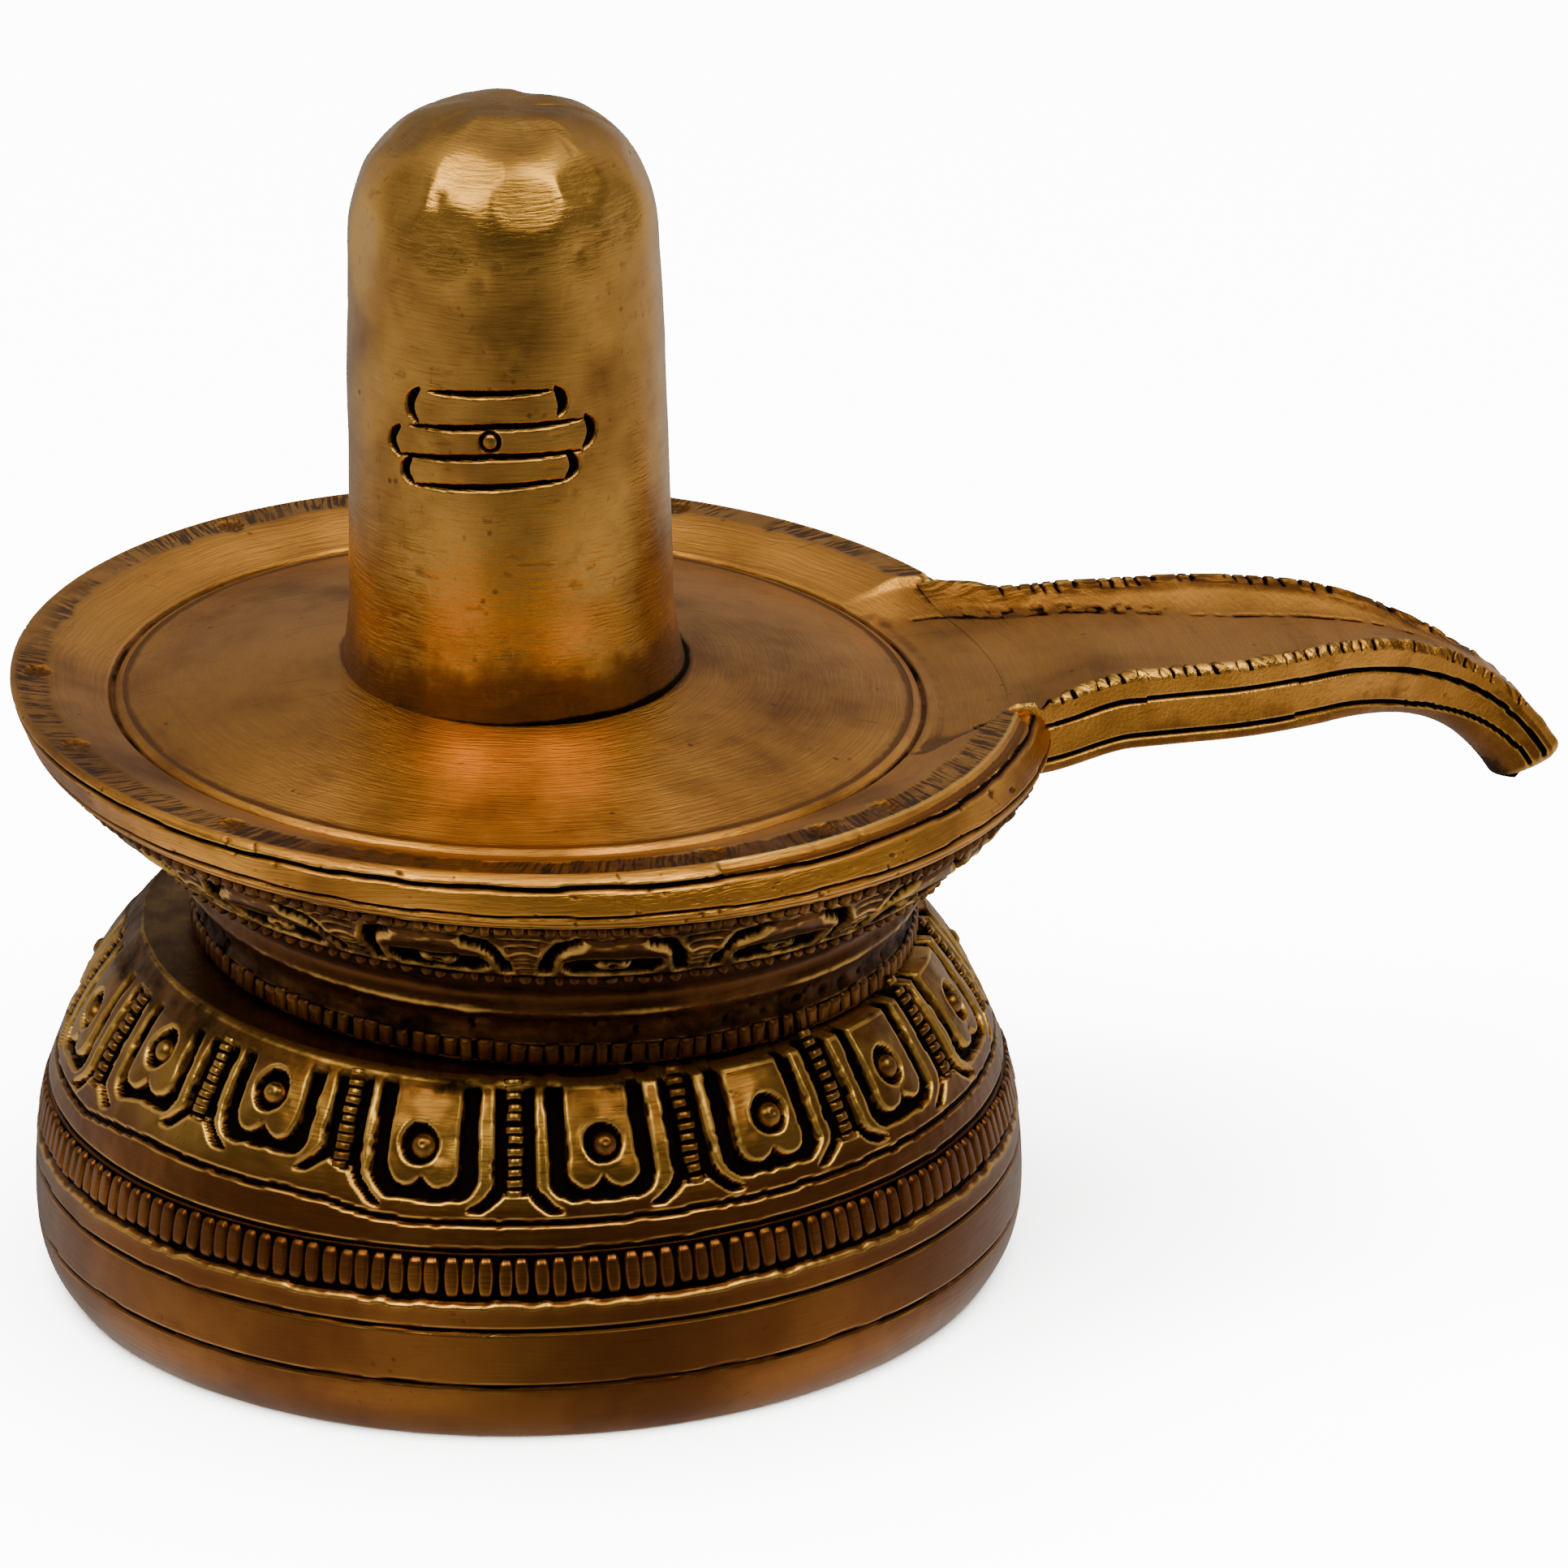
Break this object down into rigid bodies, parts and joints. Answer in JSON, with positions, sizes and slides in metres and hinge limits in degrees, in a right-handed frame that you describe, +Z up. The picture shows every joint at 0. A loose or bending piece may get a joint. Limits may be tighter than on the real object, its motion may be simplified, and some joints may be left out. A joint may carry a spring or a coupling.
{
  "type": "shiva lingam",
  "caption": "Brass shiva lingam for a home altar: a domed shaft with a chased three-line mark, seated in a spouted yoni dish with a carved neck, on a domed base of lotus petals",
  "frame": {"origin": "on the shaft's axis, in the plane of the base's flat underside", "axes": "+Z up along the shaft, +X along the dish's spout, +Y to the left of someone who looks along the spout"},
  "size_m": [0.1298, 0.0855, 0.1013],
  "materials": {
    "shaft_brass": "antique brass, brushed and lightly scratched, with black patina in the chased lines",
    "tray_brass": "antique brass, turned floor, file marks on the rim, red-brown patina in the carved neck",
    "base_brass": "antique brass with black patina in the petals' grooves and bright high points"
  },
  "bodies": {
    "root": {"lingam": "shaft_brass", "yoni_tray": "tray_brass", "lotus_base": "base_brass"}
  },
  "joints": []
}
